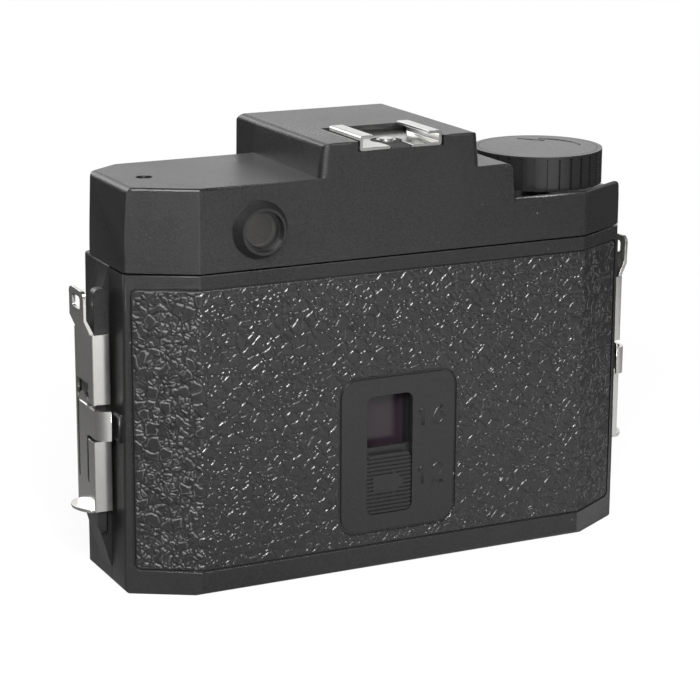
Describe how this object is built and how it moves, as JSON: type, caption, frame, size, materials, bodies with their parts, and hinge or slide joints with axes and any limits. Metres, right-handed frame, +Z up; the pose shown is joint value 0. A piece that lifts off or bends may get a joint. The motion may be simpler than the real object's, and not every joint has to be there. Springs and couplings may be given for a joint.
{
  "type": "medium format film camera",
  "caption": "Plastic roll-film camera with slotted counter window, ribbed winding knob, accessory shoe, focusing lens and a back held by side clips.",
  "frame": {"origin": "centre of the base, on the surface that the camera stands on, midway between the front and rear faces of the top cover", "axes": "+Z up; +Y towards the back cover, so the lens looks along -Y; +X towards the finder side, away from the winding knob"},
  "size_m": [0.1474, 0.0798, 0.1037],
  "materials": {
    "black_plastic": "satin black moulded plastic with a fine texture",
    "grained_black": "black plastic with moulded leather grain",
    "matt_black_plastic": "matt black moulded plastic",
    "plate_plastic": "smooth satin black plastic",
    "nickel": "plated steel",
    "bright_nickel": "bright nickel plate",
    "clip_nickel": "rolled nickel-plated sheet",
    "brass_strip": "spring brass",
    "finder_glass": "clear acrylic",
    "lens_glass": "clear optical plastic",
    "red_window": "dark red plastic film window",
    "foam": "black foam"
  },
  "bodies": {
    "camera_body": {"front_body": "black_plastic", "top_cover": "black_plastic", "film_chamber": "matt_black_plastic", "film_mask": "matt_black_plastic", "tripod_socket": "nickel", "spool_pivots": "nickel", "deck_screw": "nickel", "accessory_shoe": "bright_nickel", "shoe_insulator": "matt_black_plastic", "shoe_contact": "bright_nickel", "contact_leaf": "brass_strip", "finder_eyepiece": "black_plastic", "finder_eye_lens": "finder_glass", "finder_tube": "matt_black_plastic", "finder_front_lens": "finder_glass", "finder_frame": "black_plastic", "front_grain_panels": "grained_black", "shutter_housing": "black_plastic", "shutter_plate": "matt_black_plastic", "release_spring": "nickel", "lens_barrel": "black_plastic", "housing_screws": "nickel", "ratchet_pawl": "nickel"},
    "winding_train": {"winding_knob": "black_plastic", "knob_cap": "black_plastic", "winding_shaft": "nickel", "take_up_spool": "matt_black_plastic"},
    "release": {"release_lever": "black_plastic"},
    "blade": {"shutter_blade": "nickel"},
    "aperture": {"aperture_lever": "black_plastic"},
    "time_selector": {"time_switch": "black_plastic"},
    "carriage": {"lens_carriage": "black_plastic", "lens_element": "lens_glass", "lens_baffle": "matt_black_plastic"},
    "focus": {"focus_ring": "black_plastic"},
    "back": {"back_cover": "black_plastic", "back_grain_panel": "grained_black", "window_plate": "plate_plastic", "red_window": "red_window", "pressure_plate": "nickel", "foam_pad": "foam", "light_seals": "foam"},
    "counter_slider": {"window_slider": "plate_plastic"},
    "clip_left": {"left_clip": "clip_nickel"},
    "clip_right": {"right_clip": "clip_nickel"}
  },
  "joints": [
    {"name": "knob_turn", "type": "hinge", "parent": "camera_body", "child": "winding_train", "pos_m": [-0.047, 0, 0.09], "axis": [0, 0, 1], "continuous": true},
    {"name": "release_press", "type": "hinge", "parent": "camera_body", "child": "release", "pos_m": [-0.02, -0.0244, 0.046], "axis": [0, -1, 0], "range_deg": [0, 18], "stiffness_Nm_per_rad": 0.06, "springref_deg": -6.88},
    {"name": "blade_swing", "type": "hinge", "parent": "camera_body", "child": "blade", "pos_m": [0.017, -0.0229, 0.048], "axis": [0, -1, 0], "range_deg": [0, 35.1]},
    {"name": "aperture_swing", "type": "hinge", "parent": "camera_body", "child": "aperture", "pos_m": [0, -0.0272, 0.054], "axis": [0, 1, 0], "range_deg": [0, 28]},
    {"name": "time_select", "type": "slide", "parent": "camera_body", "child": "time_selector", "axis": [1, 0, 0], "range_m": [0, 0.005]},
    {"name": "lens_extend", "type": "slide", "parent": "camera_body", "child": "carriage", "axis": [0, -1, 0], "range_m": [0, 0.0028]},
    {"name": "focus_turn", "type": "hinge", "parent": "carriage", "child": "focus", "pos_m": [0, -0.044, 0.038], "axis": [0, -1, 0], "range_deg": [0, 160]},
    {"name": "back_lift_off", "type": "slide", "parent": "camera_body", "child": "back", "axis": [0, 1, 0], "range_m": [0, 0.03]},
    {"name": "slider_travel", "type": "slide", "parent": "back", "child": "counter_slider", "axis": [0, 0, 1], "range_m": [0, 0.0142]},
    {"name": "left_clip_slide", "type": "slide", "parent": "camera_body", "child": "clip_left", "axis": [0, 0, -1], "range_m": [0, 0.012]},
    {"name": "right_clip_slide", "type": "slide", "parent": "camera_body", "child": "clip_right", "axis": [0, 0, -1], "range_m": [0, 0.012]}
  ],
  "couplings": [
    {"joint": "blade_swing", "follows": "release_press", "ratio": 1.944},
    {"joint": "lens_extend", "follows": "focus_turn", "m_per_rad": 0.001}
  ]
}
